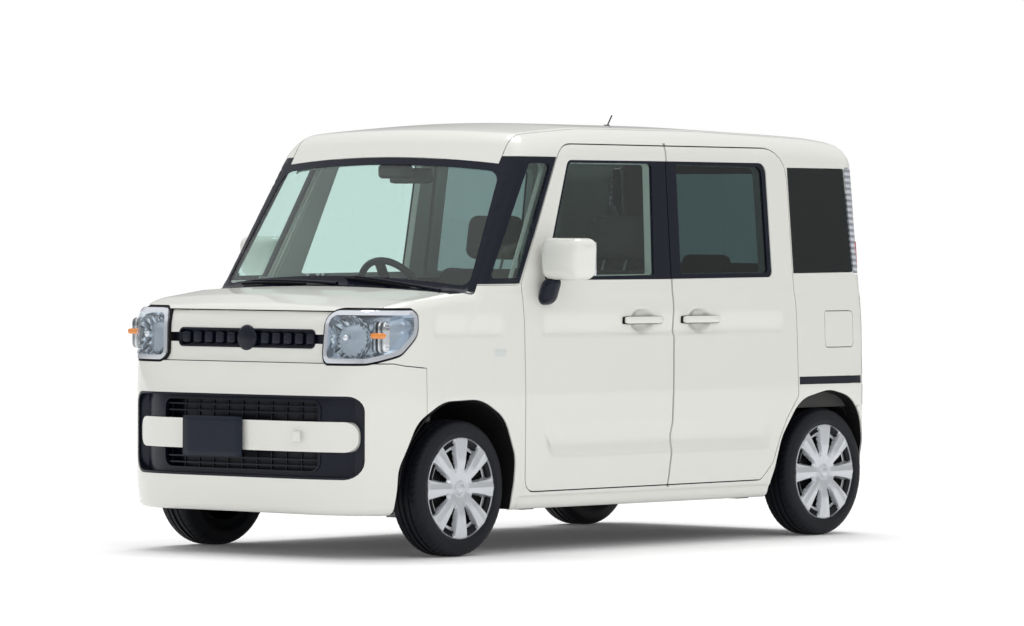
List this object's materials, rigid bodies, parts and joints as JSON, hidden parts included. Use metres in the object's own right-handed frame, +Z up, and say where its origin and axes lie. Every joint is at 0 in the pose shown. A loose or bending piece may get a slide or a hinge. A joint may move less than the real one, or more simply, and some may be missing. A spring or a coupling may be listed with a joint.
{
  "type": "kei car",
  "caption": "Tall boxy kei wagon with a hollow cabin, hinged front doors, hood, tailgate and fuel lid, and steered front wheels.",
  "frame": {"origin": "on the ground under the middle of the body's length and width", "axes": "+Z up, the nose points to -Y, +X is the car's left side"},
  "size_m": [1.899, 3.395, 1.8335],
  "materials": {
    "paint": "pearl gloss",
    "black_trim": "satin",
    "grille_black": "gloss",
    "clear_glass": "clear green tint",
    "privacy_glass": "dark tint",
    "lamp_lens": "clear",
    "tail_lens": "gloss",
    "plate_blue": "satin",
    "seat_fabric": "woven",
    "dash_plastic": "grained",
    "under_steel": "matt",
    "cast_metal": "as cast",
    "pipe_steel": "dull",
    "tyre_rubber": "matt",
    "cover_silver": "silver paint",
    "grip_black": "satin"
  },
  "bodies": {
    "body": {"underbody": "under_steel", "roof": "paint", "side_frame_left": "paint", "side_frame_right": "paint", "front_fenders": "paint", "front_bumper": "paint", "rear_bumper": "paint", "windshield": "clear_glass", "side_windows": "privacy_glass", "sliding_doors": "paint", "cowl": "black_trim", "headlights": "lamp_lens", "taillights": "tail_lens", "front_panel": "paint", "lower_grille": "grille_black", "front_plate": "plate_blue", "antenna": "black_trim", "front_seats": "seat_fabric", "rear_seats": "seat_fabric", "dashboard": "dash_plastic", "engine": "cast_metal", "front_suspension": "under_steel", "rear_axle": "under_steel", "fuel_tank": "black_trim", "exhaust": "pipe_steel"},
    "front_door_left": {"front_door_left": "paint", "door_window_left": "clear_glass", "mirror_left": "paint"},
    "front_door_right": {"front_door_right": "paint", "door_window_right": "clear_glass", "mirror_right": "paint"},
    "hood": {"hood": "paint"},
    "tailgate": {"tailgate": "paint", "tailgate_window": "privacy_glass"},
    "fuel_lid": {"fuel_lid": "paint"},
    "knuckle_left": {"knuckle_left": "cast_metal"},
    "knuckle_right": {"knuckle_right": "cast_metal"},
    "steering_wheel": {"steering_wheel": "grip_black"},
    "wheel_front_left": {"tyre_front_left": "tyre_rubber", "rim_front_left": "cover_silver"},
    "wheel_front_right": {"tyre_front_right": "tyre_rubber", "rim_front_right": "cover_silver"},
    "wheel_rear_left": {"tyre_rear_left": "tyre_rubber", "rim_rear_left": "cover_silver"},
    "wheel_rear_right": {"tyre_rear_right": "tyre_rubber", "rim_rear_right": "cover_silver"}
  },
  "joints": [
    {"name": "steer_left", "type": "hinge", "parent": "body", "child": "knuckle_left", "pos_m": [0.5845, -1.1075, 0.18], "axis": [-0.1392, 0, 0.9903], "range_deg": [-35, 35]},
    {"name": "steer_right", "type": "hinge", "parent": "body", "child": "knuckle_right", "pos_m": [-0.5845, -1.1075, 0.18], "axis": [0.1392, 0, 0.9903], "range_deg": [-35, 35]},
    {"name": "steering_wheel_turn", "type": "hinge", "parent": "body", "child": "steering_wheel", "pos_m": [-0.345, -0.303, 1.046], "axis": [0, 0.8829, 0.4695], "range_deg": [-525, 525]},
    {"name": "wheel_front_left_spin", "type": "hinge", "parent": "knuckle_left", "child": "wheel_front_left", "pos_m": [0.6475, -1.1075, 0.2785], "axis": [1, 0, 0], "continuous": true},
    {"name": "wheel_front_right_spin", "type": "hinge", "parent": "knuckle_right", "child": "wheel_front_right", "pos_m": [-0.6475, -1.1075, 0.2785], "axis": [1, 0, 0], "continuous": true},
    {"name": "wheel_rear_left_spin", "type": "hinge", "parent": "body", "child": "wheel_rear_left", "pos_m": [0.65, 1.3525, 0.2785], "axis": [1, 0, 0], "continuous": true},
    {"name": "wheel_rear_right_spin", "type": "hinge", "parent": "body", "child": "wheel_rear_right", "pos_m": [-0.65, 1.3525, 0.2785], "axis": [1, 0, 0], "continuous": true},
    {"name": "front_door_left_hinge", "type": "hinge", "parent": "body", "child": "front_door_left", "pos_m": [0.7275, -0.722, 0.68], "axis": [0, 0, -1], "range_deg": [0, 65]},
    {"name": "front_door_right_hinge", "type": "hinge", "parent": "body", "child": "front_door_right", "pos_m": [-0.7275, -0.722, 0.68], "axis": [0, 0, 1], "range_deg": [0, 65]},
    {"name": "hood_hinge", "type": "hinge", "parent": "body", "child": "hood", "pos_m": [0, -1.147, 1.088], "axis": [-1, 0, 0], "range_deg": [0, 60]},
    {"name": "tailgate_hinge", "type": "hinge", "parent": "body", "child": "tailgate", "pos_m": [0, 1.6105, 1.729], "axis": [1, 0, 0], "range_deg": [0, 80]},
    {"name": "fuel_lid_hinge", "type": "hinge", "parent": "body", "child": "fuel_lid", "pos_m": [0.7215, 1.3425, 0.902], "axis": [0, 0, -1], "range_deg": [0, 85]}
  ],
  "couplings": [
    {"joint": "steer_right", "follows": "steer_left", "ratio": 1},
    {"joint": "steering_wheel_turn", "follows": "steer_left", "ratio": 15}
  ]
}
